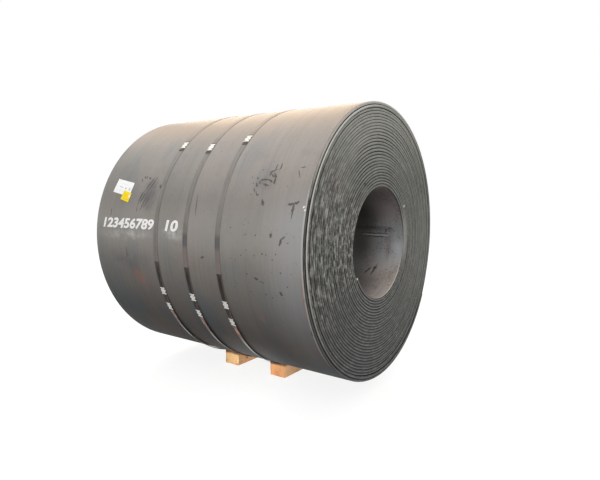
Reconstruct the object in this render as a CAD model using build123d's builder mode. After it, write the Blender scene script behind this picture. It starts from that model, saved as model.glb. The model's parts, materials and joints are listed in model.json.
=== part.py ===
from build123d import *
import os
from math import ceil, cos, degrees, radians, sin

# Coil of hot-rolled strip on two timber bearers, in millimetres and degrees.
# The coil's axis runs along X, Z is up and the floor is at Z = 0.
# Places along the coil are measured from its middle.
# Angles round the coil are counted from its top towards +Y, so the -Y side has negative angles.

# Strip and roll
bore_diameter = 610.0
outer_diameter = 1500.0
strip_width = 1500.0
strip_thickness = 15.0
# The wraps stray sideways in winding, so each few wraps stand at their own height on the ends.
wraps_per_step = 3
side_stray = 3.5
stray_turn = 2.4
# The outermost wraps are slack, with an open gap under each.
slack_wraps = 2
slack_gap = 3.0
slack_gap_depth = 45.0
slack_start = 10.0
# The strip's outer end (tail) and inner end (head) leave a step, and the next wrap runs out to meet it.
tail_angle = 122.0
tail_run = 80.0
head_angle = 240.0
head_run = 66.0

# Straps, evenly spaced, with a doubled stretch under every seal
strap_middle_place = 17.0
strap_spacing = 228.5
strap_width = 32.0
strap_thickness = 1.0
strap_overlap_end = 14.0

# Seals: crimped sleeves over the doubled strap, set by hand and so not quite in line
seal_angles = {
    "strap_far": {"seal_crown": -44.6, "seal_upper": -110.2, "seal_lower": -117.8},
    "strap_middle": {"seal_crown": -47.1, "seal_upper": -110.9, "seal_lower": -118.6},
    "strap_near": {"seal_crown": -43.4, "seal_upper": -111.8, "seal_lower": -119.8},
}
seal_length = 46.0
seal_wall = 1.2
crimp_depth = 3.5
crimp_spacing = 20.0

# Bearers
bearer_middle_place = -35.0
bearer_spacing = 372.0
bearer_width = 112.0
bearer_height = 92.0
bearer_length = 320.0
bearer_arris = 3.0
bearer_crush = 4.0

# Paper label and the tag stuck over its corner, placed from the coil's far end
label_from_end = 194.0
label_angle = -66.3
label_width = 164.0
label_height = 84.0
label_tilt = -10.4
tag_from_end = 240.0
tag_angle = -70.4
tag_width = 77.0
tag_height = 55.0
tag_tilt = -14.0
paper_thickness = 0.3

# Clearance between pieces that lie on one another
seat_gap = 0.3

bore_radius = bore_diameter / 2
outer_radius = outer_diameter / 2
axis_height = bearer_height - bearer_crush + seat_gap + outer_radius
coil_axis = Axis((0, 0, axis_height), (1, 0, 0))
end_view = Plane((0, 0, axis_height), x_dir=(0, 1, 0), z_dir=(1, 0, 0))
strap_seat = outer_radius + seat_gap
strap_top = strap_seat + strap_thickness
doubled_top = strap_top + strap_thickness
strap_places = {
    "strap_far": strap_middle_place - strap_spacing,
    "strap_middle": strap_middle_place,
    "strap_near": strap_middle_place + strap_spacing,
}
bearer_places = {
    "bearer_far": bearer_middle_place - bearer_spacing / 2,
    "bearer_near": bearer_middle_place + bearer_spacing / 2,
}
label_place = label_from_end - strip_width / 2
tag_place = tag_from_end - strip_width / 2


def radial_plane(angle):
    """Plane through the coil's axis: local X runs along the axis, local Y out from it."""
    normal = (0, -cos(radians(angle)), sin(radians(angle)))
    return Plane((0, 0, axis_height), x_dir=(1, 0, 0), z_dir=normal)


def skin_plane(place, angle, radius):
    """Plane that touches a cylinder round the coil's axis, facing outwards."""
    outward = (0, sin(radians(angle)), cos(radians(angle)))
    origin = (place, radius * outward[1], axis_height + radius * outward[2])
    return Plane(origin, x_dir=(1, 0, 0), z_dir=outward)


def polar(angle, radius):
    return (radius * sin(radians(angle)), radius * cos(radians(angle)))


def stepped_circle(radius, step_angle, step_radius, run):
    """Closed end-view outline: a circle whose last run leaves it smoothly and ends at a step."""
    turn = 1 if run > 0 else -1
    run_start = step_angle - run
    heading = (turn * cos(radians(run_start)), -turn * sin(radians(run_start)))
    with BuildLine() as outline:
        CenterArc((0, 0), radius, 90 - step_angle, run - turn * 360)
        TangentArc(polar(run_start, radius), polar(step_angle, step_radius), tangent=heading)
        Line(polar(step_angle, step_radius), polar(step_angle, radius))
    return outline.line


def strap_line(lift):
    """End-view line of a strap at some height over the roll, pulled straight from the tail's corner."""
    run_arc = roll_outline.edges().filter_by(GeomType.CIRCLE).sort_by(SortBy.RADIUS)[0]
    with BuildLine() as line:
        roll = CenterArc((0, 0), outer_radius + lift, 90 - tail_angle, tail_run - 360)
        whole_run = CenterArc(run_arc.arc_center, run_arc.radius + lift, 0, 360, mode=Mode.PRIVATE)
        tangents = ConstrainedLines(
            whole_run, roll @ 0, selector=lambda lines: lines.sort_by_distance(roll @ 1)[0]
        )
        touch = tangents.vertices().sort_by_distance(roll @ 1)[0]
        TangentArc(roll @ 1, touch, tangent=roll % 1)
    return line.edges()


def doubled_stretch(angle):
    """End-view outline of the strap where its two ends lie on each other."""
    span = degrees((seal_length + 2 * strap_overlap_end) / outer_radius)
    start = angle - span / 2
    end = angle + span / 2
    root = strap_seat + strap_thickness / 2
    with BuildLine() as outline:
        CenterArc((0, 0), root, 90 - start, -span)
        Line(polar(end, root), polar(end, doubled_top))
        CenterArc((0, 0), doubled_top, 90 - end, span)
        Line(polar(start, doubled_top), polar(start, root))
    return outline.edges()


def wrap_levels():
    """Inner radius, outer radius and sideways stray of each step on the coil's ends."""
    slack_depth = slack_wraps * (strip_thickness + slack_gap)
    tight_depth = outer_radius - bore_radius - slack_depth
    tight_wraps = int(tight_depth / strip_thickness)
    step_count = ceil(tight_wraps / wraps_per_step)
    rims = [bore_radius]
    for step in range(1, step_count + 1):
        wraps_inside = min(step * wraps_per_step, tight_wraps)
        rims.append(bore_radius + tight_depth * wraps_inside / tight_wraps)
    for wrap in range(1, slack_wraps + 1):
        rims.append(rims[step_count] + wrap * (strip_thickness + slack_gap))
    # Stock for the end-view outlines to trim
    rims[0] -= strip_thickness
    rims[-1] += strip_thickness
    strays = [side_stray * sin(stray_turn * step) for step in range(len(rims) - 1)]
    middle = (max(strays) + min(strays)) / 2
    return [(rims[i], rims[i + 1], strays[i] - middle) for i in range(len(strays))]


# The wrap under the tail runs out to the roll's outside, and the wrap past the head runs in to the bore.
roll_outline = stepped_circle(outer_radius, tail_angle, outer_radius - strip_thickness, tail_run)
bore_outline = stepped_circle(bore_radius, head_angle, bore_radius + strip_thickness, -head_run)
levels = wrap_levels()

with BuildPart() as coil:
    with BuildSketch(radial_plane(0)):
        with BuildLine():
            near_end = []
            far_end = []
            for inner, outer, stray in levels:
                near_end += [(strip_width / 2 + stray, inner), (strip_width / 2 + stray, outer)]
                far_end += [(stray - strip_width / 2, inner), (stray - strip_width / 2, outer)]
            Polyline(*near_end, *reversed(far_end), close=True)
        make_face()
    revolve(axis=coil_axis)
    # The tail is strapped down, so the slack starts past it and ends before its run.
    with BuildSketch(radial_plane(tail_angle - tail_run - slack_start)):
        for inner, outer, stray in levels[-slack_wraps:]:
            with Locations((stray - strip_width / 2, inner), (stray + strip_width / 2, inner)):
                Rectangle(2 * slack_gap_depth, slack_gap)
    revolve(axis=coil_axis, revolution_arc=360 - tail_run - 2 * slack_start, mode=Mode.SUBTRACT)
    with BuildSketch(end_view):
        make_face(roll_outline.edges())
        make_face(bore_outline.edges(), mode=Mode.SUBTRACT)
    extrude(amount=strip_width, both=True, mode=Mode.INTERSECT)

strap_solids = {}
for name, place in strap_places.items():
    with BuildPart() as strap:
        with BuildSketch(end_view.offset(place)):
            make_face(strap_line(strap_top - outer_radius))
            for angle in seal_angles[name].values():
                make_face(doubled_stretch(angle))
            make_face(strap_line(seat_gap), mode=Mode.SUBTRACT)
        extrude(amount=strap_width / 2, both=True)
    strap_solids[name] = strap

seal_solids = {}
seal_inside = strap_width + 2 * seat_gap
seal_outside = seal_inside + 2 * seal_wall
seal_hollow = doubled_top + seat_gap - strap_seat
for strap_name, place in strap_places.items():
    for seal_name, angle in seal_angles[strap_name].items():
        with BuildPart() as seal:
            with BuildSketch(radial_plane(angle)):
                with Locations((place, strap_seat)):
                    Rectangle(seal_outside, seal_hollow + seal_wall, align=(Align.CENTER, Align.MIN))
                    Rectangle(seal_inside, seal_hollow, align=(Align.CENTER, Align.MIN), mode=Mode.SUBTRACT)
            extrude(amount=seal_length / 2, both=True)
            with BuildSketch(skin_plane(place, angle, outer_radius)):
                with GridLocations(seal_outside, crimp_spacing, 2, 2):
                    RegularPolygon(crimp_depth, 4)
            extrude(amount=seal_length, mode=Mode.SUBTRACT)
        seal_solids[f"{strap_name}_{seal_name}"] = seal

bearer_solids = {}
for name, place in bearer_places.items():
    with BuildPart() as bearer:
        with BuildSketch(Plane.XZ):
            with Locations((place, 0)):
                Rectangle(bearer_width, bearer_height, align=(Align.CENTER, Align.MIN))
            chamfer(vertices(), bearer_arris)
        extrude(amount=bearer_length / 2, both=True)
        # The coil's weight has pressed its round, and any strap that crosses, into the timber.
        with BuildSketch(end_view.offset(place)):
            Circle(outer_radius + seat_gap)
        extrude(amount=bearer_width, both=True, mode=Mode.SUBTRACT)
        for strap_place in strap_places.values():
            with BuildSketch(end_view.offset(strap_place)):
                Circle(strap_top + seat_gap)
            extrude(amount=strap_width / 2 + seat_gap, both=True, mode=Mode.SUBTRACT)
    bearer_solids[name] = bearer


def stuck_sheet(place, angle, width, height, tilt, seat_radius):
    """Thin sheet stuck flat round the coil, turned a little on its face."""
    with BuildPart() as sheet:
        with BuildSketch(skin_plane(place, angle, outer_radius - height)):
            with Locations(Location((0, 0, 0), (0, 0, tilt))):
                Rectangle(width, height)
        extrude(amount=2 * height)
        with BuildSketch(end_view.offset(place)):
            Circle(seat_radius + paper_thickness)
            Circle(seat_radius, mode=Mode.SUBTRACT)
        extrude(amount=width, both=True, mode=Mode.INTERSECT)
    return sheet


label_seat = outer_radius + seat_gap
tag_seat = label_seat + paper_thickness + seat_gap
paper_label = stuck_sheet(label_place, label_angle, label_width, label_height, label_tilt, label_seat)
yellow_tag = stuck_sheet(tag_place, tag_angle, tag_width, tag_height, tag_tilt, tag_seat)

solids = {"coil": coil, **strap_solids, **seal_solids, **bearer_solids}
solids |= {"paper_label": paper_label, "yellow_tag": yellow_tag}
os.makedirs("parts", exist_ok=True)
for name, piece in solids.items():
    piece.part.label = name
    export_step(piece.part, f"parts/{name}.step")
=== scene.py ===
import functools
import json
import math

import bmesh
import bpy
from mathutils import Matrix, Vector, noise


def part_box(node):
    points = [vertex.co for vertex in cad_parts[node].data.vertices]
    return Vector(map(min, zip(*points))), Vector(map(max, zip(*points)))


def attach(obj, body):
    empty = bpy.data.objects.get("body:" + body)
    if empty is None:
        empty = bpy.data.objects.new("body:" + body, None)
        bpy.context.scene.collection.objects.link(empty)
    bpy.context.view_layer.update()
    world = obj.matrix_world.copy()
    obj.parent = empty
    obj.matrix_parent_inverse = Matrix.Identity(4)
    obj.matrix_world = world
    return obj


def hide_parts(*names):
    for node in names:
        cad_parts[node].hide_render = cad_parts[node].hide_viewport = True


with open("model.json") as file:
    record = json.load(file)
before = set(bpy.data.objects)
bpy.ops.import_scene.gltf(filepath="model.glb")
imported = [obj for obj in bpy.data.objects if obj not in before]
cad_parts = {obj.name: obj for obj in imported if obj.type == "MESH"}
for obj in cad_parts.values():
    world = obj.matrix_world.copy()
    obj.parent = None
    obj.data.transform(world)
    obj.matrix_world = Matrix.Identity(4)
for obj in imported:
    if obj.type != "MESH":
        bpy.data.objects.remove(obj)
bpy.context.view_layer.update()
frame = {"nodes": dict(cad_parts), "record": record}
record = frame["record"]
print("frame loaded:", len(frame["nodes"]), "nodes")

# The coil's axis runs along X. Angles are counted from its top towards -Y, the side that the camera sees.
boreMount = next(mount for mount in record["mounts"] if mount["name"] == "bore")
axisHeight = boreMount["pos_m"][2]
boreRadius = boreMount["dims"]["r_mm"] / 1000
stripWidth = boreMount["dims"]["length_mm"] / 1000
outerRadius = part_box("coil")[1].z - axisHeight


def onRoll(place, angle, radius):
    turn = math.radians(angle)
    return Vector((place, -radius * math.sin(turn), axisHeight + radius * math.cos(turn)))


def nodeMiddle(name):
    low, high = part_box(name)
    return (low + high) / 2


def nodeAngle(name):
    middle = nodeMiddle(name)
    return math.degrees(math.atan2(-middle.y, middle.z - axisHeight))


def blend01(value, low, high):
    part = min(max((value - low) / (high - low), 0), 1)
    return part * part * (3 - 2 * part)


def tone(*levels):
    # colour as read off a screen, 0 to 255
    def linear(share):
        return share / 12.92 if share < 0.0404 else ((share + 0.055) / 1.055) ** 2.4

    return (*(linear(level / 255) for level in levels), 1)


class Value:
    # a socket that takes part in sums
    def __init__(self, tree, socket):
        self.tree = tree
        self.socket = socket

    def maths(self, operation, *items):
        return addNode(self.tree, "ShaderNodeMath", {"operation": operation}, dict(enumerate(items)))

    def calc(self, operation, *others):
        return self.maths(operation, self, *others)

    def __add__(self, other):
        return self.calc("ADD", other)

    def __radd__(self, other):
        return self.calc("ADD", other)

    def __sub__(self, other):
        return self.calc("SUBTRACT", other)

    def __rsub__(self, other):
        return self.maths("SUBTRACT", other, self)

    def __mul__(self, other):
        return self.calc("MULTIPLY", other)

    def __rmul__(self, other):
        return self.calc("MULTIPLY", other)

    def __truediv__(self, other):
        return self.calc("DIVIDE", other)

    def __rtruediv__(self, other):
        return self.maths("DIVIDE", other, self)

    def __pow__(self, other):
        return self.calc("POWER", other)

    def __neg__(self):
        return self.calc("MULTIPLY", -1)

    def __abs__(self):
        return self.calc("ABSOLUTE")


def feed(tree, slot, item):
    if isinstance(item, Value):
        tree.links.new(item.socket, slot)
    elif item is not None:
        slot.default_value = item


def addNode(tree, kind, settings=None, inputs=None, out=0):
    # out is one output, or a tuple of several
    node = tree.nodes.new(kind)
    for name, value in (settings or {}).items():
        setattr(node, name, value)
    for name, value in (inputs or {}).items():
        feed(tree, node.inputs[name], value)
    if isinstance(out, tuple):
        return [Value(tree, node.outputs[name]) for name in out]
    return Value(tree, node.outputs[out])


shaderInputs = {
    "colour": "Base Color",
    "metal": "Metallic",
    "rough": "Roughness",
    "gloss": "Specular IOR Level",
    "normal": "Normal",
    "glow": "Emission Color",
    "glowStrength": "Emission Strength",
}


class Finish:
    # a material, with the nodes that its colours are made of
    def __init__(self, name, **fixed):
        self.material = bpy.data.materials.new(name)
        self.material.use_nodes = True
        self.tree = self.material.node_tree
        self.shader = self.tree.nodes["Principled BSDF"]
        self.finish(**fixed)
        self.place = self.node("ShaderNodeTexCoord", out="Object")
        self.x, self.y, self.z = self.node("ShaderNodeSeparateXYZ", inputs={0: self.place}, out=(0, 1, 2))

    def node(self, kind, settings=None, inputs=None, out=0):
        return addNode(self.tree, kind, settings, inputs, out)

    def attribute(self, name):
        return self.node("ShaderNodeAttribute", {"attribute_name": name}, out="Fac")

    def join(self, x, y, z=0.0):
        return self.node("ShaderNodeCombineXYZ", inputs={0: x, 1: y, 2: z})

    def vector(self, operation, *items, out=0):
        return self.node("ShaderNodeVectorMath", {"operation": operation}, dict(enumerate(items)), out)

    def lapAngle(self):
        # degrees round the coil, from its top
        return (-self.y).calc("ARCTAN2", self.z - axisHeight) * math.degrees(1)

    def grain(self, where, scale=1.0, detail=4.0, rough=0.55):
        return self.node(
            "ShaderNodeTexNoise",
            inputs={"Vector": where, "Scale": scale, "Detail": detail, "Roughness": rough},
        )

    def cells(self, where, scale, space="3D"):
        return self.node(
            "ShaderNodeTexVoronoi",
            {"voronoi_dimensions": space},
            {"Vector": where, "Scale": scale},
        )

    def fade(self, value, low, high):
        return self.node(
            "ShaderNodeMapRange",
            {"interpolation_type": "SMOOTHSTEP"},
            {"Value": value, "From Min": low, "From Max": high},
        )

    def band(self, value, low, lowFull, highFull, high):
        return self.fade(value, low, lowFull) * (1 - self.fade(value, highFull, high))

    def mix(self, share, under, over):
        return self.node(
            "ShaderNodeMix",
            {"data_type": "RGBA", "clamp_factor": True},
            {0: share, 6: under, 7: over},
            out=2,
        )

    def bump(self, height, strength, distance, normal=None):
        return self.node(
            "ShaderNodeBump",
            inputs={"Height": height, "Strength": strength, "Distance": distance, "Normal": normal},
        )

    def finish(self, **values):
        for name, value in values.items():
            feed(self.tree, self.shader.inputs[shaderInputs[name]], value)
        return self.material


def addObject(name, data):
    made = bpy.data.objects.new(name, data)
    bpy.context.scene.collection.objects.link(made)
    return made


def addPiece(name, bm, materials, replaced=(), sharpAngle=35):
    mesh = bpy.data.meshes.new(name)
    bm.to_mesh(mesh)
    bm.free()
    mesh.polygons.foreach_set("use_smooth", [True] * len(mesh.polygons))
    mesh.set_sharp_from_angle(angle=math.radians(sharpAngle))
    for material in materials:
        mesh.materials.append(material)
    piece = addObject(name, mesh)
    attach(piece, "root")
    if replaced:
        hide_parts(*replaced)
    return piece


coil = {
    "tailAngle": -122.0,        # outer end of the strip, on the far side
    "tailRun": 80.0,            # the wrap under the tail sinks over this much of a turn
    "headAngle": -240.0,        # inner end, in the bore
    "headRun": 66.0,
    "wraps": 28,                # whole turns between tail and head
    "thickness": 0.015,
    "slackPitch": 0.0163,       # the two outermost wraps lie loose
    "slackWraps": 2,
    "stepsPerTurn": 180,        # a whole number of steps lies between tail and head
    "edgeRound": 0.0045,        # mill edge, never sheared
    "grooveDepth": 0.009,
    "slackDepth": 0.045,
    "edgeCorner": 0.3,          # the rounded edge's middle point, as a share of the round
    "edgeWear": 0.75,           # share of the worn look that is lost towards the groove
    "stray": 0.0028,
    "edgeOffsets": (0.0, 0.0035, 0.0005, 0.002),   # outermost wraps, counted from outside
    "offsetRun": 0.04,          # turns over which one offset goes over into the next
    "skinRows": 6,
    "weld": 0.00004,            # points nearer than this become one
}
turns = coil["wraps"] + (coil["tailAngle"] - coil["headAngle"]) / 360
tightDepth = outerRadius - boreRadius - coil["thickness"] - coil["slackWraps"] * coil["slackPitch"]
tightPitch = tightDepth / (coil["wraps"] - coil["slackWraps"])


def wrapLevel(turn):
    # how many wraps deep the strip lies after so many turns from the tail
    firstStart = 1 - coil["tailRun"] / 360
    lastStart = turns - 1
    level = 0
    for k in range(coil["wraps"]):
        share = k / (coil["wraps"] - 1)
        start = firstStart + (lastStart - firstStart) * share
        run = (coil["tailRun"] + (coil["headRun"] - coil["tailRun"]) * share) / 360
        if turn >= start + run:
            level += 1
        elif turn > start:
            level += blend01(turn, start, start + run)
    return level


def wrapOutside(turn):
    level = wrapLevel(turn)
    loose = min(level, coil["slackWraps"])
    return outerRadius - loose * coil["slackPitch"] - (level - loose) * tightPitch


def wrapStray(turn, side):
    # each wrap stands a little in or out on the ends
    slow = noise.noise(Vector((turn * 0.83, side * 7.3, 1.7)))
    quick = noise.noise(Vector((turn * 2.9, side * 3.1, 9.2)))
    offset = 0
    run = coil["offsetRun"]
    for k, amount in enumerate(coil["edgeOffsets"]):
        offset += amount * blend01(turn, k - run, k + run) * (1 - blend01(turn, k + 1 - run, k + 1 + run))
    return side * ((slow + 0.5 * quick) * coil["stray"] + offset)


def rowsBetween(start, end):
    # section points spread evenly from one to another, without either
    shares = [(k + 1) / (coil["skinRows"] + 1) for k in range(coil["skinRows"])]
    return [tuple(a + (b - a) * share for a, b in zip(start, end)) for share in shares]


def wrapSection(turn):
    # one wrap cut across, from the groove inside it to the groove outside it and back along its skins
    # each point: radius, place, worn share, skin (1 outside, -1 in the bore), outward share
    thickness, edge = coil["thickness"], coil["edgeRound"]
    corner = coil["edgeCorner"] * edge
    # on the outer face or not, in from that face, back from the edge
    rim = (
        (0, 0, edge), (0, corner, corner), (0, edge, 0),
        (1, -edge, 0), (1, -corner, corner), (1, 0, edge),
    )
    outside = wrapOutside(turn)
    inside = outside - thickness
    over = wrapOutside(turn - 1) - thickness if turn >= 1 else outside
    under = wrapOutside(turn + 1) if turn <= turns - 1 else inside
    outerGroove = (outside + over) / 2
    innerGroove = (inside + under) / 2
    level = wrapLevel(turn)
    depthIn = coil["slackDepth"] if level < coil["slackWraps"] - 0.5 else coil["grooveDepth"]
    depthOut = coil["slackDepth"] if level < coil["slackWraps"] + 0.5 else coil["grooveDepth"]
    outerSkin = 1 if turn < 1.001 else 0
    boreSkin = -1 if turn > turns - 1.001 else 0
    ends = []
    for side in (1, -1):
        end = side * stripWidth / 2 + wrapStray(turn, side)
        section = [(innerGroove, side * (stripWidth / 2 - depthIn), 0, boreSkin, 0)]
        for outer, inset, back in rim:
            radius = (outside if outer else inside) + inset
            worn = 1 - back / edge * coil["edgeWear"]
            section.append((radius, end - side * back, worn, outerSkin if outer else boreSkin, outer))
        section.append((outerGroove, side * (stripWidth / 2 - depthOut), 0, outerSkin, 1))
        ends.append(section[::side])
    near, far = ends
    return near + rowsBetween(near[-1], far[0]) + far + rowsBetween(far[-1], near[0])


def closeUp(bm, weld):
    bmesh.ops.remove_doubles(bm, verts=bm.verts, dist=weld)
    openEdges = [edge for edge in bm.edges if edge.is_boundary]
    if openEdges:
        bmesh.ops.edgeloop_fill(bm, edges=openEdges)
    bmesh.ops.recalc_face_normals(bm, faces=bm.faces)


def buildCoil():
    steps = round(turns * coil["stepsPerTurn"])
    rows = coil["skinRows"]
    sections = [wrapSection(turns * i / steps) for i in range(steps + 1)]
    across = len(sections[0])
    bm = bmesh.new()
    bmesh.ops.create_grid(bm, x_segments=steps, y_segments=across, size=1)
    layers = [bm.verts.layers.float.new(name) for name in ("turn", "rim", "skin", "outward")]
    for vert in bm.verts:
        i = round((vert.co.x + 1) / 2 * steps)
        j = round((vert.co.y + 1) / 2 * across)
        turn = turns * i / steps
        radius, place, *shares = sections[i][j % across]
        vert.co = onRoll(place, coil["tailAngle"] - 360 * turn, radius)
        for layer, share in zip(layers, (turn, *shares)):
            vert[layer] = share
        vert.index = i * (across + 1) + j
    # skin and bore faces that another wrap covers
    skinFirst, boreFirst = across // 2 - rows - 1, across - rows - 1
    hidden = []
    for face in bm.faces:
        spots = [divmod(vert.index, across + 1) for vert in face.verts]
        turn = turns * (min(i for i, j in spots) + 0.5) / steps
        row = min(j for i, j in spots)
        onSkin = skinFirst <= row <= skinFirst + rows
        inBore = boreFirst <= row <= boreFirst + rows
        if (onSkin and turn > 1) or (inBore and turn < turns - 1):
            hidden.append(face)
    bmesh.ops.delete(bm, geom=hidden, context="FACES")
    closeUp(bm, coil["weld"])
    return bm


# Marks on the coil: place along the axis, angle, half length round the coil, half width, lean
marks = {
    "drags": (
        (-0.335, 65, 0.052, 0.004, 30), (-0.375, 69.5, 0.024, 0.004, 30), (-0.305, 64.5, 0.046, 0.004, 30),
        (-0.38, 71.5, 0.042, 0.004, 15), (-0.39, 76, 0.018, 0.003, 0), (-0.345, 73.5, 0.046, 0.004, 25),
        (-0.32, 73, 0.038, 0.003, 35), (-0.36, 71, 0.03, 0.004, 25), (-0.395, 61.5, 0.01, 0.005, -50),
        (-0.38, 61.5, 0.01, 0.005, -10), (-0.35, 62, 0.012, 0.005, -50), (-0.41, 63, 0.012, 0.005, -10),
        (-0.235, 66, 0.015, 0.009, -45), (-0.62, 77.5, 0.026, 0.003, 0), (0.075, 73.5, 0.056, 0.003, -5),
    ),
    "scrapes": (
        (0.525, 58.5, 0.017, 0.004, 5), (0.55, 58.5, 0.021, 0.004, 5), (0.515, 60, 0.024, 0.004, 70),
        (0.505, 61, 0.017, 0.004, 20), (0.535, 62, 0.017, 0.006, -35), (0.54, 64, 0.018, 0.006, -5),
        (0.52, 62, 0.015, 0.004, -50), (0.48, 63.5, 0.026, 0.005, 90), (0.515, 64, 0.015, 0.005, -60),
        (0.455, 64.5, 0.009, 0.004, -15), (0.435, 63, 0.006, 0.006, 0), (0.44, 65.5, 0.013, 0.005, -30),
        (0.435, 67.5, 0.014, 0.003, -25), (0.455, 69, 0.018, 0.004, -30), (0.495, 65.5, 0.02, 0.004, -75),
        (0.5, 72, 0.017, 0.008, -25), (0.665, 61.5, 0.021, 0.003, -25), (0.675, 59, 0.016, 0.003, 80),
        (0.66, 72.5, 0.019, 0.006, 75), (0.69, 72, 0.015, 0.006, 65), (0.675, 74, 0.022, 0.007, 5),
        (0.675, 75.5, 0.03, 0.004, 5), (0.57, 83.5, 0.012, 0.007, 5), (0.625, 85.5, 0.019, 0.006, 20),
        (0.64, 84, 0.011, 0.004, 45), (0.48, 99, 0.014, 0.005, -75), (0.51, 100, 0.015, 0.003, -75),
        (0.615, 103.5, 0.012, 0.007, -45), (0.14, 93.5, 0.006, 0.012, -10), (-0.465, 94.5, 0.034, 0.003, 0),
        (0.742, 104.5, 0.014, 0.004, 0), (0.738, 117.5, 0.02, 0.004, 10),
    ),
    # the broad third smudge, low on the left, is painted shade
    "smudges": ((-0.35, 68.5, 0.1, 0.08, 20), (0.49, 64, 0.09, 0.08, 0), (-0.5, 99, 0.12, 0.26, 0)),
    "smear": ((-0.3, 69.5, 0.12, 0.066, -5),),
    "rust": (
        (-0.386, 105.2, 0.068, 0.05, -38), (0.463, 114.6, 0.05, 0.018, -8), (0.735, 108, 0.22, 0.01, 0),
        (-0.03, 150.5, 0.03, 0.06, 0), (0.36, 150.5, 0.03, 0.07, 0),
    ),
    "bright": ((0.731, 73.3, 0.005, 0.006, 0), (0.739, 74.5, 0.005, 0.006, 0)),
    "dotted": ((0.5, 92, 0.3, 0.26, 0), (0.49, 64, 0.12, 0.11, 0)),
    "overspray": ((-0.446, 87, 0.04, 0.27, 0), (-0.077, 85.4, 0.045, 0.11, 0)),
}
boreMarks = {
    "scuffs": (
        (0.55, -131, 0.032, 0.006, -30), (0.59, -129.5, 0.048, 0.007, -15), (0.592, -127, 0.014, 0.01, -60),
        (0.57, -85.8, 0.003, 0.12, 0), (0.575, -89.7, 0.003, 0.1, 0),
    ),
    "crease": ((0.575, -87.7, 0.004, 0.11, 0),),
    "stain": ((0.53, -79.5, 0.024, 0.19, 0), (0.655, -80, 0.02, 0.04, 0)),
    "dark": ((0.47, -104, 0.1, 0.08, 0), (0.5, -64, 0.11, 0.12, 0)),
    "pale": ((0.712, -101, 0.09, 0.034, 0),),
    "brown": (
        (0.634, -82.2, 0.012, 0.018, 0), (0.652, -103, 0.1, 0.02, 0), (0.505, -113.6, 0.022, 0.022, 0),
    ),
}


class CoilFinish(Finish):
    def __init__(self, name):
        super().__init__(name, gloss=0.25)
        self.height = self.z - axisHeight
        self.radius = (self.y * self.y + self.height * self.height) ** 0.5
        self.angle = (-self.y).calc("ARCTAN2", self.height)
        self.degrees = self.angle * math.degrees(1)
        self.rim = self.attribute("rim")
        self.turn = self.attribute("turn")
        skin = self.attribute("skin")
        self.outward = self.attribute("outward")
        self.edgeShare = self.fade(self.rim, 0.25, 0.5)
        self.skinShare = self.fade(skin, 0.4, 0.6)
        self.boreShare = self.fade(skin, -0.4, -0.6)
        # rolling streaks run round the coil
        self.streak = self.grain(self.join(self.x * 75, self.y * 1.3, self.height * 1.3), 1, 6, 0.62)
        self.fineStreak = self.grain(self.join(self.x * 420, self.y * 3, self.height * 3), 1, 3, 0.6)
        self.broad = self.grain(self.join(self.x * 2.1, self.y * 1.2, self.height * 1.2), 1, 4, 0.55)
        self.tint = self.grain(self.join(self.x * 5.2 + 7.7, self.y * 2.4, self.height * 2.4), 1, 4, 0.55)
        self.cloud = self.grain(self.place, 9, 6, 0.62)
        self.mottle = self.grain(self.place, 210, 2, 0.6)
        self.crown = 1 - self.fade(abs(self.degrees), 24, 50)
        self.under = self.fade(abs(self.degrees) - self.x * 5, 82, 130)

    def unroll(self):
        # both skins laid flat, so that marks can be set out on them with ragged edges
        ragged = (self.grain(self.place, 80, 5, 0.7) - 0.5) * 0.016
        raggedArc = (self.grain(self.join(self.x + 3.3, self.y, self.z), 70, 5, 0.7) - 0.5) * 0.018
        flatRadius = self.boreShare * (boreRadius - outerRadius) + outerRadius
        self.flatX = self.x + ragged
        self.flatY = self.angle * flatRadius + raggedArc
        self.leans = {}

    def leaned(self, lean):
        # marks with the same lean share their coordinates
        if lean not in self.leans:
            side, up = math.sin(math.radians(lean)), math.cos(math.radians(lean))
            turnedX = self.flatX * up + self.flatY * side
            turnedY = self.flatY * up - self.flatX * side
            self.leans[lean] = self.join(turnedX, turnedY)
        return self.leans[lean]

    def spot(self, mark, soft, around):
        place, angle, half, width, lean = mark
        middle = Matrix.Rotation(math.radians(-lean), 2) @ Vector((place, math.radians(angle) * around))
        stretch, shift = (1 / width, 1 / half, 0), (-middle.x / width, -middle.y / half, 0)
        local = self.vector("MULTIPLY_ADD", self.leaned(lean), stretch, shift)
        return self.fade(self.vector("LENGTH", local, out="Value"), 1.15, soft)

    def spots(self, group, soft=0.5, around=outerRadius):
        total = self.spot(group[0], soft, around)
        for mark in group[1:]:
            total = total.calc("MAXIMUM", self.spot(mark, soft, around))
        return total

    def endSpot(self, radius, angle, width, half):
        # a small mark on the near end
        across = 1 - self.fade(abs(self.radius - radius), width * 0.5, width)
        along = 1 - self.fade(abs(self.degrees - angle), half * 0.5, half)
        return across * along * self.fade(self.x, 0.0, 0.5)


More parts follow.
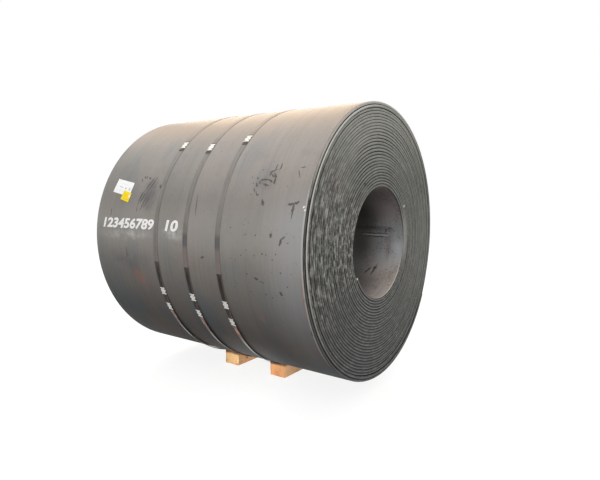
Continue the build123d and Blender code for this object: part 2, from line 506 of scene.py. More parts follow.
def scaleColour(f):
    streaky = 0.55 + f.fade(f.degrees, 76, 92) * 0.45
    colour = f.mix(f.fade(f.broad, 0.38, 0.62), tone(132, 129, 124), tone(142, 136, 131))
    colour = f.mix(f.fade(f.tint, 0.53, 0.66) * 0.4, colour, tone(118, 122, 126))
    colour = f.mix(f.fade(f.tint, 0.46, 0.34) * 0.4, colour, tone(143, 128, 121))
    colour = f.mix(f.fade(f.streak, 0.45, 0.8) * streaky * 0.45, colour, tone(104, 104, 104))
    colour = f.mix(f.fade(f.streak, 0.42, 0.2) * streaky * 0.4, colour, tone(158, 154, 149))
    colour = f.mix(f.fade(f.cloud, 0.5, 0.75) * 0.2, colour, tone(98, 96, 94))
    colour = f.mix(f.fade(f.mottle, 0.5, 0.68) * 0.24, colour, tone(96, 94, 92))
    # painted warm highlight along the crown, and painted shade, darker and bluer, on the underside
    colour = f.mix(f.crown * 0.5, colour, tone(188, 161, 134))
    # a painted sheen in a band round the side, from 70 to 98 degrees
    colour = f.mix(f.band(f.degrees, 70, 82, 86, 98) * 0.3, colour, tone(170, 166, 160))
    # painted light towards the near end: lighter and bluer, with less of the painted underside shade
    nearEnd = f.fade(f.x, 0.45, 0.70) * f.fade(f.degrees, 64, 80)
    colour = f.mix(nearEnd * 0.5, colour, tone(166, 168, 171))
    # painted shade on the underside, weaker towards the near end
    dark = f.mix(f.fade(f.tint, 0.42, 0.6), tone(94, 88, 85), tone(81, 86, 89))
    return f.mix(f.under * (0.94 - nearEnd * 0.2), colour, dark)


def markedColour(f, colour, smudges):
    patchy = f.fade(f.grain(f.place, 130, 4, 0.7), 0.24, 0.46)
    hatch = f.grain(f.vector("MULTIPLY", f.leaned(25), (220, 14, 0)), 1, 3, 0.6)
    dots = f.cells(f.join(f.x, f.angle * outerRadius), 26, "2D")
    dotSize = f.grain(f.place, 21, 2, 0.5)
    dotted = (1 - f.fade(dots / dotSize, 0.08, 0.2)) * f.fade(dotSize, 0.53, 0.6)
    dotted = dotted * f.spots(marks["dotted"], 0.4)
    strayDots = (1 - f.fade(dots, 0.03, 0.08)) * f.fade(dotSize, 0.61, 0.66)
    smear = f.spots(marks["smear"], 0.3)
    rust = f.spots(marks["rust"], 0.3)
    overspray = f.spots(marks["overspray"], 0.0) * f.fade(f.grain(f.place, 26, 4, 0.6), 0.35, 0.75)
    # dark smudges; the broad one low on the left is painted shade
    colour = f.mix(smudges * f.fade(f.cloud, 0.38, 0.6) * 0.35, colour, tone(84, 86, 90))
    colour = f.mix(smear * (0.22 + f.fade(hatch, 0.44, 0.58) * 0.5), colour, tone(76, 78, 84))
    colour = f.mix(rust * f.fade(f.cloud, 0.3, 0.56) * 0.5, colour, tone(148, 106, 91))
    colour = f.mix(overspray * 0.5, colour, tone(218, 219, 218))
    colour = f.mix(f.spots(marks["drags"], 0.75) * patchy * 0.75, colour, tone(58, 60, 60))
    colour = f.mix(f.spots(marks["scrapes"], 0.75) * patchy * 0.75, colour, tone(54, 56, 57))
    colour = f.mix((dotted + strayDots) * 0.8, colour, tone(52, 51, 51))
    # painted highlight along the outermost wrap's corner towards the front
    lightened = f.band(f.x, 0.7365, 0.7395, 0.7435, 0.7455) * f.band(f.degrees, 62, 74, 128, 142)
    colour = f.mix(lightened * 0.42, colour, tone(206, 204, 200))
    return f.mix(f.spots(marks["bright"]) * 0.9, colour, tone(240, 240, 236))


def boreColour(f):
    # lighter scale near the mouths, painted shade further in and on the deep floor, with stains, a crease
    # and drag marks
    def marked(name, soft=0.5):
        return f.spots(boreMarks[name], soft, boreRadius)

    lap, depth = abs(f.degrees), abs(f.x)
    speckle = f.fade(f.grain(f.place, 110, 4, 0.75), 0.5, 0.6)
    colour = f.mix(f.fade(lap, 104, 138), tone(178, 180, 183), tone(182, 171, 165))
    colour = f.mix(1 - f.fade(lap, 60, 82), colour, tone(172, 163, 164))
    # painted shade deeper in the bore and on its floor there
    colour = f.mix(1 - f.fade(depth, 0.47, 0.70), colour, tone(108, 107, 104))
    deepFloor = (1 - f.fade(depth, 0.56, 0.74)) * f.fade(lap, 128, 146)
    colour = f.mix(deepFloor * 0.6, colour, tone(96, 91, 88))
    colour = f.mix(f.fade(f.streak, 0.45, 0.75) * 0.2, colour, tone(104, 102, 102))
    colour = f.mix(f.fade(f.cloud, 0.5, 0.7) * 0.3, colour, tone(124, 108, 99))
    colour = f.mix(marked("dark", 0.0) * 0.55, colour, tone(64, 65, 64))
    colour = f.mix(marked("pale", 0.1) * 0.6, colour, tone(206, 208, 212))
    colour = f.mix(marked("brown", 0.1) * (0.35 + speckle * 0.35), colour, tone(122, 88, 70))
    colour = f.mix(marked("stain", 0.1) * (0.4 + speckle * 0.45), colour, tone(44, 44, 42))
    colour = f.mix(speckle * f.fade(f.cloud, 0.42, 0.56) * 0.5, colour, tone(78, 71, 67))
    colour = f.mix(marked("scuffs") * 0.8, colour, tone(42, 41, 41))
    colour = f.mix(marked("crease", 0.4) * 0.6, colour, tone(206, 206, 205))
    # painted shade on the mouth's lip above, and a painted highlight on it below
    lip = f.fade(depth, 0.737, 0.742)
    colour = f.mix(lip * (1 - f.fade(lap, 70, 95)) * 0.6, colour, tone(50, 48, 47))
    return f.mix(lip * f.fade(lap, 105, 130) * 0.6, colour, tone(226, 220, 210))


def crestColour(f):
    # the wraps' worn edges, as they show on the ends
    along = f.grain(f.join(f.turn * 2.3, 0.0, f.x * 4), 1, 3, 0.6)
    dash = f.grain(f.join(f.turn * 66, f.x * 5), 1, 3, 0.65)
    nick = f.grain(f.join(f.radius * 80, f.angle * 14 + f.radius * 12), 1, 2, 0.6)
    blotch = f.grain(f.place, 14, 5, 0.65)
    front = f.band(f.degrees, 36, 76, 100, 130) * f.fade(f.x, -0.7, 0.7)
    woven = 0.16 + front * 0.7
    colour = f.mix(f.fade(along, 0.34, 0.66), tone(106, 108, 102), tone(152, 152, 144))
    colour = f.mix(f.fade(blotch, 0.45, 0.75) * 0.4, colour, tone(92, 92, 88))
    colour = f.mix(f.fade(f.grain(f.place, 5, 3, 0.5), 0.55, 0.72) * 0.35, colour, tone(124, 100, 88))
    # painted light on the upper part of the ends, painted shade on their lower part
    colour = f.mix(f.fade(f.height, 0.30, 0.70) * 0.84, colour, tone(162, 162, 154))
    lower = f.fade((f.angle - math.radians(158)).calc("COSINE"), -0.6, 1.18)
    colour = f.mix(lower * (0.75 + f.radius * 0.4), colour, tone(50, 51, 52))
    # a bright line along each wrap's outer corner, partly rubbed burr and partly painted highlight, with
    # painted shade on the rest of the crest, and nicks all along
    fine = (1 - f.fade(f.height, 0.30, 0.60)).calc("MAXIMUM", 1 - f.fade(f.radius, 0.34, 0.42))
    burr = f.band(f.outward, 0.5, 0.72, 0.86, 1.0)
    nearBore = 1 - f.fade(f.radius, 0.36, 0.46)
    colour = f.mix((1 - burr) * fine * (0.34 + nearBore * 0.3), colour, tone(54, 55, 54))
    colour = f.mix(burr * fine * (0.5 + nearBore * 0.35), colour, tone(172, 171, 163))
    colour = f.mix(f.fade(dash, 0.5, 0.62) * woven * 0.84, colour, tone(40, 41, 40))
    colour = f.mix(f.fade(dash, 0.5, 0.38) * woven * 0.66, colour, tone(184, 183, 175))
    colour = f.mix(f.fade(nick, 0.49, 0.6) * front * 0.5, colour, tone(36, 37, 36))
    colour = f.mix(f.fade(nick, 0.48, 0.38) * front * 0.36, colour, tone(182, 181, 173))
    # light catches the bore's mouth on the far side
    mouth = (1 - f.fade(f.radius, 0.325, 0.37)) * f.band(f.degrees, -50, -78, -98, -125)
    colour = f.mix(mouth * 0.45, colour, tone(196, 195, 188))
    # the two slack wraps: the outer one with painted light above and painted shade below, the other bright
    # along the front
    first = 1 - f.fade(f.turn, 0.97, 1.03)
    colour = f.mix(first * f.band(f.degrees, -50, -20, 50, 72) * 0.6, colour, tone(200, 197, 188))
    colour = f.mix(first * f.band(f.degrees, 56, 76, 140, 160) * 0.7, colour, tone(54, 54, 53))
    second = f.band(f.turn, 0.97, 1.06, 1.94, 2.03) * f.band(f.degrees, -10, 25, 80, 140)
    colour = f.mix(second * f.fade(f.outward, 0.2, 0.5) * 0.85, colour, tone(210, 207, 200))
    # a dark nick, a painted glint on a scratch and a painted highlight on the tip of the strip's inner end
    colour = f.mix(f.endSpot(0.372, 32, 0.011, 1.8) * 0.85, colour, tone(36, 37, 37))
    colour = f.mix(f.endSpot(0.353, -57, 0.012, 1.6) * 0.8, colour, tone(240, 238, 230))
    return f.mix(f.endSpot(0.318, 120, 0.009, 2.2) * 0.9, colour, tone(245, 245, 242))


def millScale():
    f = CoilFinish("millScale")
    plain = scaleColour(f)
    f.unroll()
    smudges = f.spots(marks["smudges"], 0.1)
    skin = markedColour(f, plain, smudges)
    bore = boreColour(f)
    crest = crestColour(f)
    # painted shade, near black, in the grooves between wraps and on the faces deep in them
    ends = f.mix(f.fade(f.rim, 0.4, 0.85), tone(28, 29, 28), crest)
    body = f.mix(f.skinShare, tone(24, 24, 24), skin)
    body = f.mix(f.boreShare, body, bore)
    metal = 0.28 + f.crown * (1 - f.edgeShare) * 0.12 - f.under.calc("MAXIMUM", f.edgeShare) * 0.22
    rough = 0.36 + f.streak * 0.18 + smudges * 0.08 + f.under * (1 - f.edgeShare) * 0.36
    bumped = f.bump(f.streak + f.fineStreak * 0.3, 0.12, 0.0006)
    bumped = f.bump(f.cloud, 0.12, 0.0012, bumped)
    colour = f.mix(f.edgeShare, body, ends)
    return f.finish(colour=colour, metal=metal, rough=rough, normal=bumped)


coilPiece = addPiece("coilStrip", buildCoil(), [millScale()], ["coil"], 50)
print("coil wound:", round(turns, 2), "turns,", len(coilPiece.data.polygons), "faces")


def rollOutside(angle):
    return wrapOutside((coil["tailAngle"] - angle) / 360 % 1)


@functools.lru_cache(maxsize=None)
def strapSeat(angle):
    # a tight strap runs straight from the tail's corner to where it meets the sinking wrap
    best = rollOutside(angle)
    sunk = (coil["tailAngle"] - angle) % 360 - (360 - coil["tailRun"])
    if sunk <= 0:
        return best
    corner = onRoll(0, coil["tailAngle"], outerRadius)
    ray = onRoll(0, angle, 1) - onRoll(0, angle, 0)
    tries = 40
    for k in range(tries + 1):
        other = angle + sunk * k / tries
        point = onRoll(0, other, rollOutside(other))
        along = corner - point
        outward = point - Vector((0, 0, axisHeight))
        cross = ray.y * along.z - ray.z * along.y
        if abs(cross) > 1e-9:
            best = max(best, (outward.y * along.z - outward.z * along.y) / cross)
    return best


def gridTube(steps, loop, spot, shade=None):
    # a grid rolled into a tube: spot places loop point j of step i, shade gives a share kept there
    bm = bmesh.new()
    bmesh.ops.create_grid(bm, x_segments=steps, y_segments=loop, size=1)
    shadeLayer = bm.verts.layers.float.new("shade")
    for vert in bm.verts:
        i = round((vert.co.x + 1) / 2 * steps)
        j = round((vert.co.y + 1) / 2 * loop) % loop
        vert.co = spot(i, j)
        vert[shadeLayer] = shade(i, j) if shade else 0
    closeUp(bm, strap["weld"])
    return bm


def pour(target, source):
    # adds one mesh to another
    mesh = bpy.data.meshes.new("part")
    source.to_mesh(mesh)
    source.free()
    target.from_mesh(mesh)
    bpy.data.meshes.remove(mesh)


strap = {
    "width": 0.032,
    "thickness": 0.001,
    "gap": 0.0003,
    "bevel": 0.3,               # share of the thickness
    "steps": 300,
    "doubledSteps": 1.5,        # steps for each degree of a doubled stretch
    "leastSteps": 12,
    "weld": 0.00002,
    # the free end lies on top from here
    "jointStart": {"strap_far": 97.3, "strap_middle": 98.2, "strap_near": 99.2},
    "pastSeal": 0.006,          # how far a doubled stretch shows beyond its seals
    "crownTail": 0.019,         # free end under the crown seal
    "spring": 0.0016,           # free ends stand up this much
    "springLength": 0.006,
    "looseFrom": 102.0,         # on the underside the strap hangs loose, its near edge lower
    "looseTo": 172.0,
    "looseLift": 0.004,
    "looseShift": 0.006,
    "looseTwist": 15.0,
}
strapNames = ("strap_far", "strap_middle", "strap_near")
sealNames = ("seal_crown", "seal_upper", "seal_lower")
seal = {
    "length": {"seal_crown": 0.047, "seal_upper": 0.041, "seal_lower": 0.044},
    "width": 0.0362,
    "height": 0.0036,
    "crimp": 0.0042,            # how far each crimp bites into the sides
    "crimpPlaces": (-0.24, 0.24),   # shares of the length
    "crimpWidth": 0.0042,
    "sink": 0.34,               # how far the crimps press the top in, as a share of its height
    "steps": 56,
    # across in half widths, up in heights
    "section": (
        (-1, 0.1), (-0.9, 0), (0.9, 0), (1, 0.1), (1, 0.62), (0.95, 0.88), (0.86, 1.0), (0.66, 1.05),
        (0.33, 1.08), (0, 1.08), (-0.33, 1.08), (-0.66, 1.05), (-0.86, 1.0), (-0.95, 0.88), (-1, 0.62),
    ),
}


def strapSlack(angle):
    if not strap["looseFrom"] < angle < strap["looseTo"]:
        return 0
    share = (angle - strap["looseFrom"]) / (strap["looseTo"] - strap["looseFrom"])
    return math.sin(math.pi * share) ** 2


def onStrap(place, angle, across, up):
    slack = strapSlack(angle % 360)
    twist = math.radians(strap["looseTwist"] * slack)
    lift = strap["gap"] + strap["looseLift"] * slack + (strap["width"] / 2 + across) * math.sin(twist)
    sideways = across * math.cos(twist) + strap["looseShift"] * slack
    return onRoll(place + sideways, angle, strapSeat(angle) + lift + up)


def bandSection(width, thickness):
    bevel = thickness * strap["bevel"]
    half = width / 2
    return (
        (-half, bevel), (-half + bevel, 0), (half - bevel, 0), (half, bevel),
        (half, thickness - bevel), (half - bevel, thickness),
        (-half + bevel, thickness), (-half, thickness - bevel),
    )


def doubledStretches(name):
    # first and last angle of each stretch where a free end lies on the strap
    def beyond(sealName, way, extra):
        reach = seal["length"][sealName] / 2 + extra
        return nodeAngle(f"{name}_{sealName}") + way * math.degrees(reach / outerRadius)

    return (
        (beyond("seal_crown", -1, strap["pastSeal"]), beyond("seal_crown", 1, strap["crownTail"])),
        (strap["jointStart"][name], beyond("seal_lower", 1, strap["pastSeal"])),
    )


def buildStrap(name):
    place = nodeMiddle(name).x
    section = bandSection(strap["width"], strap["thickness"])

    def spot(i, j):
        angle = -360 * (i % strap["steps"]) / strap["steps"]
        return onStrap(place, angle, *section[j])

    bm = gridTube(strap["steps"], len(section), spot)
    for start, end in doubledStretches(name):
        steps = max(strap["leastSteps"], round((end - start) * strap["doubledSteps"]))

        def doubled(i, j):
            angle = start + (end - start) * i / steps
            across, up = section[j]
            fromEnd = math.radians(min(angle - start, end - angle)) * outerRadius
            spring = strap["spring"] * math.exp(-fromEnd / strap["springLength"])
            return onStrap(place, angle, across, strap["thickness"] + spring + up)

        layer = gridTube(steps, len(section), doubled)
        for face in layer.faces:
            face.material_index = 1
        pour(bm, layer)
    return bm


def buildSeal(strapName, sealName):
    place = nodeMiddle(f"{strapName}_{sealName}").x
    middle = nodeAngle(f"{strapName}_{sealName}")
    length = seal["length"][sealName]
    half = seal["width"] / 2
    top = seal["height"]
    steps, section = seal["steps"], seal["section"]

    def pinch(along):
        return sum(math.exp(-((along - length * c) / seal["crimpWidth"]) ** 2) for c in seal["crimpPlaces"])

    def spot(i, j):
        along = length * (i / steps - 0.5)
        bite = pinch(along)
        across, up = section[j]
        # the middle of the top gives way less than the sides
        narrow = half - seal["crimp"] * bite * (1 if abs(across) > 0.8 else 0.6)
        sink = seal["sink"] * bite * (1 if up > 0.5 else 0) * abs(across)
        angle = middle + math.degrees(along / outerRadius)
        return onStrap(place, angle, across * narrow, top * (up - sink))

    def shade(i, j):
        across, up = section[j]
        return min(pinch(length * (i / steps - 0.5)) * abs(across) ** 2, 1)

    return gridTube(steps, len(section), spot, shade)


bearer = {
    "arris": 0.004,
    "cell": 0.008,
    "roughness": 0.0008,
    "waves": 24,                # how fine the roughness is, per metre
    "seed": 1,                  # without one, noise_vector is seeded from the clock
    "gap": 0.0004,              # between the pressed top and the coil
}


def cutAll(bm, place, normal):
    everything = bm.verts[:] + bm.edges[:] + bm.faces[:]
    bmesh.ops.bisect_plane(bm, geom=everything, dist=1e-6, plane_co=place, plane_no=normal)


def fixOrder(bm):
    # bevel and solidify make faces in no fixed order
    slanted = Vector((1, 7, 49))
    bm.faces.sort(key=lambda face: face.calc_center_median().dot(slanted))


def buildBearer(name):
    low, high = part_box(name)
    size = high - low
    bm = bmesh.new()
    bmesh.ops.create_cube(bm, size=1)
    for vert in bm.verts:
        vert.co = nodeMiddle(name) + vert.co * size
    bmesh.ops.bevel(
        bm, geom=bm.edges[:], offset=bearer["arris"], affect="EDGES", segments=2, profile=0.5, material=-1
    )
    for axis in range(3):
        count = round(size[axis] / bearer["cell"])
        for k in range(1, count):
            spot = Vector(low)
            spot[axis] += size[axis] * k / count
            normal = Vector((axis == 0, axis == 1, axis == 2))
            cutAll(bm, spot, normal)
    # rough faces, then the coil's round pressed into the top
    noise.seed_set(bearer["seed"])
    for vert in bm.verts:
        wave = noise.noise_vector(vert.co * bearer["waves"] + Vector((low.x * 50, 0, 0)))
        shift = wave * bearer["roughness"]
        if vert.co.z < low.z + bearer["arris"]:
            shift.z = 0
        vert.co += shift
        vert.co.z = max(vert.co.z, low.z)
        pressed = axisHeight - math.sqrt((outerRadius + bearer["gap"]) ** 2 - vert.co.y ** 2)
        vert.co.z = min(vert.co.z, pressed)
    bmesh.ops.recalc_face_normals(bm, faces=bm.faces)
    fixOrder(bm)
    return bm


label = {
    "paper_label": {"width": 0.164, "height": 0.084, "tilt": -10.4, "curl": 0.0015, "seat": 0.0006},
    "yellow_tag": {"width": 0.077, "height": 0.055, "tilt": -14.0, "curl": 0.0012, "seat": 0.0013},
}
paper = {"thickness": 0.0003, "ripple": 0.0003, "columns": 24, "rows": 14}


def buildLabel(name):
    sheet = label[name]
    seat = sheet["seat"]
    place = nodeMiddle(name).x
    middle = nodeAngle(name)
    bm = bmesh.new()
    bmesh.ops.create_grid(bm, x_segments=paper["columns"], y_segments=paper["rows"], size=0.5)
    acrossLayer = bm.verts.layers.float.new("across")
    upLayer = bm.verts.layers.float.new("up")
    turn = math.radians(sheet["tilt"])
    for vert in bm.verts:
        u, v = vert.co.x, vert.co.y
        vert[acrossLayer], vert[upLayer] = u + 0.5, v + 0.5
        # only the corners away from the other sheet curl
        corner = (abs(u) * 2) ** 6 * (abs(v) * 2) ** 4 * (1 if v > 0 or name == "yellow_tag" else 0)
        lift = sheet["curl"] * corner + paper["ripple"] * noise.noise(Vector((u * 5, v * 5, seat * 900)))
        x, y = u * sheet["width"], v * sheet["height"]
        right = x * math.cos(turn) - y * math.sin(turn)
        up = x * math.sin(turn) + y * math.cos(turn)
        at = middle - math.degrees(up / outerRadius)
        vert.co = onRoll(place + right, at, outerRadius + seat + max(lift, 0))
    bmesh.ops.recalc_face_normals(bm, faces=bm.faces)
    out = bm.faces[0].normal.dot(bm.faces[0].calc_center_median() - Vector((place, 0, axisHeight)))
    if out < 0:
        bmesh.ops.reverse_faces(bm, faces=bm.faces)
    bmesh.ops.solidify(bm, geom=bm.faces[:], thickness=paper["thickness"])
    fixOrder(bm)
    return bm


sprayed = {
    "groups": {"123456789": (0.092, 0.695), "10": (0.815, 0.95)},   # from the far end, in coil radii
    "angle": 82.2,
    "height": 0.060,
    "seat": 0.0003,
    "slant": 0.14,
    "stroke": 0.038,            # swells the outlines, as a share of the type size
    "wobble": 0.0014,
    "cuts": 10,                 # strips across each figure, so that it bends round the coil
}


def buildDigits():
    bm = bmesh.new()
    for digits, (start, end) in sprayed["groups"].items():
        curve = bpy.data.curves.new("digits", "FONT")
        curve.body = digits
        curve.shear = sprayed["slant"]
        curve.offset = sprayed["stroke"]
        curve.resolution_u = 4
        text = addObject("digits", curve)
        bpy.context.view_layer.update()
        mesh = bpy.data.meshes.new_from_object(text.evaluated_get(bpy.context.evaluated_depsgraph_get()))
        bpy.data.objects.remove(text)
        part = bmesh.new()
        part.from_mesh(mesh)
        bpy.data.meshes.remove(mesh)
        lowX, highX = min(v.co.x for v in part.verts), max(v.co.x for v in part.verts)
        lowY, highY = min(v.co.y for v in part.verts), max(v.co.y for v in part.verts)
        for k in range(1, sprayed["cuts"]):
            cutAll(part, Vector((0, lowY + (highY - lowY) * k / sprayed["cuts"], 0)), Vector((0, 1, 0)))
        for vert in part.verts:
            along = start + (end - start) * (vert.co.x - lowX) / (highX - lowX)
            up = sprayed["height"] * ((vert.co.y - lowY) / (highY - lowY) - 0.5)
            place = along * outerRadius - stripWidth / 2
            wobble = sprayed["wobble"] * noise.noise(Vector((along * 30, up * 60, 0)))
            at = sprayed["angle"] - math.degrees((up + wobble) / outerRadius)
            vert.co = onRoll(place + wobble, at, outerRadius + sprayed["seat"])
        bmesh.ops.recalc_face_normals(part, faces=part.faces)
        pour(bm, part)
    for face in bm.faces:
        if face.normal.dot(face.calc_center_median() - Vector((0, 0, axisHeight))) < 0:
            face.normal_flip()
    return bm


def strapSteel():
    f = Finish("strapSteel", gloss=0.4)
    angle = f.lapAngle()
    streak = f.grain(f.join(f.x * 320, f.y * 5, f.z * 5), 1, 4, 0.6)
    patch = f.grain(f.join(f.x * 30, f.y * 14, f.z * 14), 1, 5, 0.6)

    def between(start, end, soft):
        return f.band(angle, start - soft, start + soft, end - soft, end + soft)

    colour = f.mix(f.fade(streak, 0.35, 0.65), tone(112, 110, 107), tone(132, 128, 123))
    colour = f.mix(f.fade(patch, 0.5, 0.72) * 0.4, colour, tone(92, 90, 88))
    # painted warm reflection along the strap's top, as on the coil's crown
    colour = f.mix((1 - f.fade(abs(angle), 34, 47)) * 0.8, colour, tone(158, 142, 127))
    # a darker, bluer length, then a browner one down to the joint
    colour = f.mix(between(84.8, 90.2, 1.3) * f.fade(f.x, -0.12, -0.06) * 0.6, colour, tone(66, 69, 71))
    colour = f.mix(between(90.6, 100, 0.8) * 0.5, colour, tone(116, 100, 95))
    # below the seals the coating is rusty, then a pale painted highlight
    rust = f.mix(f.fade(patch, 0.46, 0.6), tone(104, 82, 73), tone(206, 152, 130))
    colour = f.mix(between(112, 134, 3), colour, rust)
    colour = f.mix(between(131, 152, 4) * 0.9, colour, tone(204, 201, 197))
    metal = 0.25 - f.fade(angle, 84, 120) * 0.15
    bumped = f.bump(streak, 0.2, 0.0004)
    return f.finish(colour=colour, metal=metal, rough=0.42 + streak * 0.2, normal=bumped)


def strapEnd():
    f = Finish("waxedStrapEnd", gloss=0.2)
    streak = f.grain(f.join(f.x * 380, f.y * 5, f.z * 5), 1, 4, 0.6)
    worn = f.grain(f.place, 70, 4, 0.65)
    colour = f.mix(f.fade(streak, 0.35, 0.7), tone(21, 19, 17), tone(31, 28, 25))
    colour = f.mix(f.fade(worn, 0.58, 0.7) * 0.5, colour, tone(112, 90, 76))
    # the wax is rubbed off along both edges and towards the upper tip
    middle = nodeMiddle("strap_middle").x
    spacing = nodeMiddle("strap_near").x - middle
    fromMiddle = (f.x - middle).calc("PINGPONG", spacing / 2)
    angle = f.lapAngle()
    lightened = f.fade(fromMiddle + worn * 0.006, 0.0115, 0.0165) * 0.7
    lightened = lightened.calc("MAXIMUM", (1 - f.fade(angle + worn * 4, 99, 104)) * 0.6)
    colour = f.mix(lightened, colour, tone(98, 86, 79))
    return f.finish(colour=colour, rough=0.4 + worn * 0.25, normal=f.bump(streak, 0.2, 0.0004))


def platedSeal():
    f = Finish("platedSeal")
    shade = f.attribute("shade")
    spangle = f.cells(f.place, 260)
    worn = f.grain(f.place, 130, 4, 0.65)
    colour = f.mix(f.fade(spangle, 0.1, 0.6), tone(234, 232, 226), tone(204, 203, 198))
    colour = f.mix(f.fade(worn, 0.52, 0.68) * 0.55, colour, tone(112, 108, 102))
    colour = f.mix(f.fade(shade, 0.25, 0.8) * 0.85, colour, tone(58, 55, 52))
    metal = 0.55 - f.fade(shade, 0.25, 0.8) * 0.4
    bumped = f.bump(worn, 0.15, 0.0006)
    return f.finish(colour=colour, metal=metal, rough=0.34 + worn * 0.2, normal=bumped)


# both bearers are one sawn wood; the near bearer's darker end and the far bearer's darker side are painted
# shade
timber = {
    "bearer_far": {
        "finish": "sawnTimberFar",
        "pith": (-0.195, 0.020),        # middle of the growth rings: place and height
        "knot": (-0.077, 0.034),        # on the side: Y and height
        "end": (tone(252, 211, 156), tone(218, 162, 104)),
        "side": (tone(206, 160, 118), tone(170, 118, 78)),
    },
    "bearer_near": {
        "finish": "sawnTimberNear",
        "pith": (0.118, 0.135),
        "knot": (0.082, 0.030),
        "end": (tone(204, 152, 106), tone(172, 112, 70)),
        "side": (tone(246, 200, 152), tone(206, 148, 100)),
    },
}


def sawnTimber(name):
    wood = timber[name]
    f = Finish(wood["finish"], gloss=0.25)
    low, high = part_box(name)
    pith, knot = wood["pith"], wood["knot"]
    halfWidth = (high.x - low.x) / 2
    bend = f.grain(f.join(f.x * 9, f.y * 2.5, f.z * 9), 1, 3, 0.5) - 0.5
    across, up = f.x - pith[0], f.z - pith[1]
    fromKnot = ((f.y - knot[0]) * (f.y - knot[0]) + (f.z - knot[1]) * (f.z - knot[1])) ** 0.5
    onSide = f.fade(abs(f.x - (low.x + high.x) / 2), halfWidth - 0.010, halfWidth - 0.004)
    onEnd = f.fade(abs(f.y), high.y - 0.004, high.y - 0.0015)
    # growth rings bend round the knot
    rings = (across * across + up * up) ** 0.5 + bend * 0.030
    rings = rings + (1 - f.fade(fromKnot, 0.0, 0.045)) * onSide * 0.012
    late = ((rings * 820).calc("SINE") * 0.5 + 0.5) ** 2
    fibre = f.grain(f.join(f.x * 300, f.y * 9, f.z * 300), 1, 4, 0.62)
    speck = f.grain(f.place, 260, 3, 0.65)
    dirt = f.grain(f.place, 15, 4, 0.6)

    side = f.mix(late * 0.5, *wood["side"])
    side = f.mix(f.fade(fibre, 0.45, 0.75) * 0.55, side, tone(158, 112, 74))
    side = f.mix(f.fade(fibre, 0.42, 0.25) * 0.4, side, tone(240, 204, 160))
    end = f.mix(late * 0.3, *wood["end"])
    end = f.mix(f.fade(speck, 0.5, 0.66) * 0.6, end, tone(172, 112, 68))
    end = f.mix(f.fade(dirt, 0.52, 0.68) * 0.6, end, tone(184, 104, 60))
    colour = f.mix(onEnd, side, end)
    colour = f.mix(f.fade(dirt, 0.5, 0.7) * 0.3, colour, tone(150, 116, 88))
    # painted shade along the top, where the coil sits over it
    topShade = f.fade(f.z + bend * 0.03, high.z - 0.026, high.z - 0.012)
    colour = f.mix(topShade * 0.85, colour, tone(66, 42, 28))
    colour = f.mix((1 - f.fade(fromKnot, 0.003, 0.008)) * onSide * 0.95, colour, tone(46, 26, 18))
    colour = f.mix((1 - f.fade(fromKnot, 0.006, 0.020)) * onSide * 0.5, colour, tone(122, 74, 46))
    # drying splits on the sawn ends run out from the pith
    spoke = across.calc("ARCTAN2", up) * 2.2 + bend * 1.5
    split = 1 - f.fade(abs((spoke * 3.0).calc("SINE")), 0.0, 0.035)
    split = split * f.fade(f.grain(f.place, 28, 2, 0.5), 0.5, 0.6) * onEnd
    colour = f.mix(split * 0.8, colour, tone(120, 78, 48))
    rough = 0.72 + fibre * 0.2
    bumped = f.bump(fibre * 0.7 + late * 0.3, 0.35, 0.0008)
    return f.finish(colour=colour, rough=rough, normal=bumped)


class PaperFinish(Finish):
    def __init__(self, name):
        super().__init__(name, rough=0.6, gloss=0.3)
        self.across = self.attribute("across")
        self.up = self.attribute("up")
        self.faint = self.fade(self.grain(self.place, 40, 4, 0.6), 0.35, 0.7)
        typed = self.grain(self.join(self.across * 46, self.up * 26), 1, 2, 0.6)
        self.broken = self.fade(typed, 0.42, 0.56)

    def bar(self, left, right, low, high, soft=0.015):
        sides = self.band(self.across, left - soft, left + soft, right - soft, right + soft)
        return sides * self.band(self.up, low - soft, low + soft, high - soft, high + soft)


def whitePaper():
    f = PaperFinish("whitePaper")
    colour = f.mix(f.faint * 0.5, tone(252, 253, 254), tone(234, 238, 241))
    rows = f.bar(0.24, 0.46, 0.46, 0.53) + f.bar(0.30, 0.72, 0.72, 0.76) * 0.35
    rows = rows + f.bar(0.18, 0.6, 0.2, 0.24) * 0.3
    blocks = f.bar(0.60, 0.66, 0.44, 0.53) + f.bar(0.82, 0.88, 0.40, 0.60) * 0.7
    colour = f.mix((rows * f.broken + blocks) * 0.8, colour, tone(112, 120, 120))
    return f.finish(colour=colour)


def yellowPaper():
    f = PaperFinish("yellowPaper")
    colour = f.mix(f.faint * 0.4, tone(255, 230, 4), tone(250, 208, 4))
    rows = f.bar(0.14, 0.62, 0.66, 0.74) + f.bar(0.14, 0.70, 0.46, 0.54) + f.bar(0.22, 0.84, 0.18, 0.27)
    colour = f.mix(rows * f.broken * 0.75, colour, tone(228, 140, 12))
    colour = f.mix(f.bar(0.76, 0.96, 0.50, 0.76, 0.03) * 0.95, colour, tone(246, 244, 250))
    return f.finish(colour=colour)


def sprayPaint():
    f = Finish("sprayPaint", rough=0.6)
    thin = f.fade(f.grain(f.place, 60, 4, 0.65), 0.56, 0.74)
    return f.finish(colour=f.mix(thin * 0.4, tone(254, 254, 254), tone(206, 206, 206)))


strapFinishes = [strapSteel(), strapEnd()]
sealFinish = platedSeal()
for strapName in strapNames:
    addPiece(strapName + "Band", buildStrap(strapName), strapFinishes, [strapName])
    for sealName in sealNames:
        node = f"{strapName}_{sealName}"
        addPiece(node + "Sleeve", buildSeal(strapName, sealName), [sealFinish], [node])
print("straps and seals set")

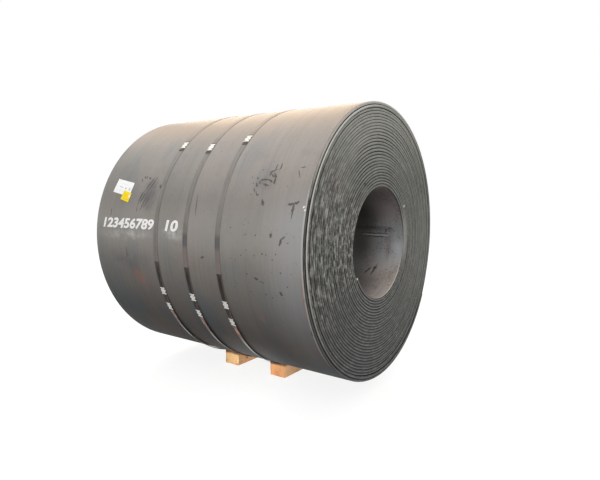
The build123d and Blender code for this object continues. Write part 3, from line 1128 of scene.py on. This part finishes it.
for bearerName in timber:
    wood = sawnTimber(bearerName)
    addPiece(bearerName + "Timber", buildBearer(bearerName), [wood], [bearerName], 40)
addPiece("paperLabel", buildLabel("paper_label"), [whitePaper()], ["paper_label"])
addPiece("yellowTag", buildLabel("yellow_tag"), [yellowPaper()], ["yellow_tag"])
addPiece("sprayedDigits", buildDigits(), [sprayPaint()])
print("bearers, labels and digits set")

stage = {"floorSize": 120.0, "floorTone": tone(128, 128, 127), "glow": 0.86}


def seenRays(tree):
    rays = ("Is Camera Ray", "Is Glossy Ray", "Is Transmission Ray")
    direct, glossy, through = addNode(tree, "ShaderNodeLightPath", out=rays)
    return direct.calc("MAXIMUM", glossy).calc("MAXIMUM", through)


def buildFloor():
    bm = bmesh.new()
    bmesh.ops.create_grid(bm, x_segments=1, y_segments=1, size=stage["floorSize"] / 2)
    mesh = bpy.data.meshes.new("studioFloor")
    bm.to_mesh(mesh)
    bm.free()
    f = Finish("floorPaint", colour=stage["floorTone"], rough=0.95, gloss=0)
    seen = f.mix(seenRays(f.tree), (0, 0, 0, 1), (1, 1, 1, 1))
    mesh.materials.append(f.finish(glow=seen, glowStrength=stage["glow"]))
    floor = addObject("studioFloor", mesh)


lamps = {
    "overhead": {
        "place": (-2.0, -0.8, 6.0), "aim": (0, 0, 0.9), "size": 7.0,
        "power": 180, "tone": (1.0, 0.96, 0.91), "spread": 180,
    },
    "back": {
        "place": (-3.5, 5.2, 3.6), "aim": (0, 0, 1.4), "size": 5.0,
        "power": 245, "tone": (1.0, 0.82, 0.62), "spread": 180,
    },
    "key": {
        "place": (3.0, -3.6, 3.4), "aim": (0.4, -0.3, 0.9), "size": 2.4,
        "power": 75, "tone": (1.0, 0.99, 0.97), "spread": 180,
    },
    "low": {
        "place": (1.0, -1.6, 0.12), "aim": (-0.03, -0.1, 0.03), "size": 0.2,
        "power": 0.85, "tone": (1.0, 0.98, 0.94), "spread": 24,
    },
}


def buildLamps():
    for name, lamp in lamps.items():
        data = bpy.data.lights.new(name, "AREA")
        data.shape = "SQUARE"
        data.size = lamp["size"]
        data.energy = lamp["power"]
        data.color = lamp["tone"]
        data.spread = math.radians(lamp["spread"])
        lampPiece = addObject(name, data)
        toward = Vector(lamp["aim"]) - Vector(lamp["place"])
        turned = toward.to_track_quat("-Z", "Y").to_matrix().to_4x4()
        lampPiece.matrix_world = Matrix.Translation(lamp["place"]) @ turned
        lampPiece.visible_camera = False


sky = {"light": 0.72, "background": 1.0}


def buildSky():
    world = bpy.data.worlds.new("studioSky")
    bpy.context.scene.world = world
    world.use_nodes = True
    tree = world.node_tree
    background = tree.nodes["Background"]
    strength = sky["light"] + seenRays(tree) * (sky["background"] - sky["light"])
    feed(tree, background.inputs["Strength"], strength)
    feed(tree, background.inputs["Color"], (1, 1, 1, 1))


camera = {
    "place": (1.928, -2.452, axisHeight + 0.286),
    "pitch": 84.239,
    "yaw": 35.081,
    "lens": 29.62,
    "sensor": 36,
    "clipEnd": 200,
}


def buildCamera():
    data = bpy.data.cameras.new("photoCamera")
    data.sensor_width = camera["sensor"]
    data.lens = camera["lens"]
    data.clip_end = camera["clipEnd"]
    eye = addObject("photoCamera", data)
    eye.location = camera["place"]
    eye.rotation_euler = (math.radians(camera["pitch"]), 0, math.radians(camera["yaw"]))
    bpy.context.scene.camera = eye


buildFloor()
buildLamps()
buildSky()
buildCamera()
bpy.context.scene.view_settings.view_transform = "Standard"
print("stage set")
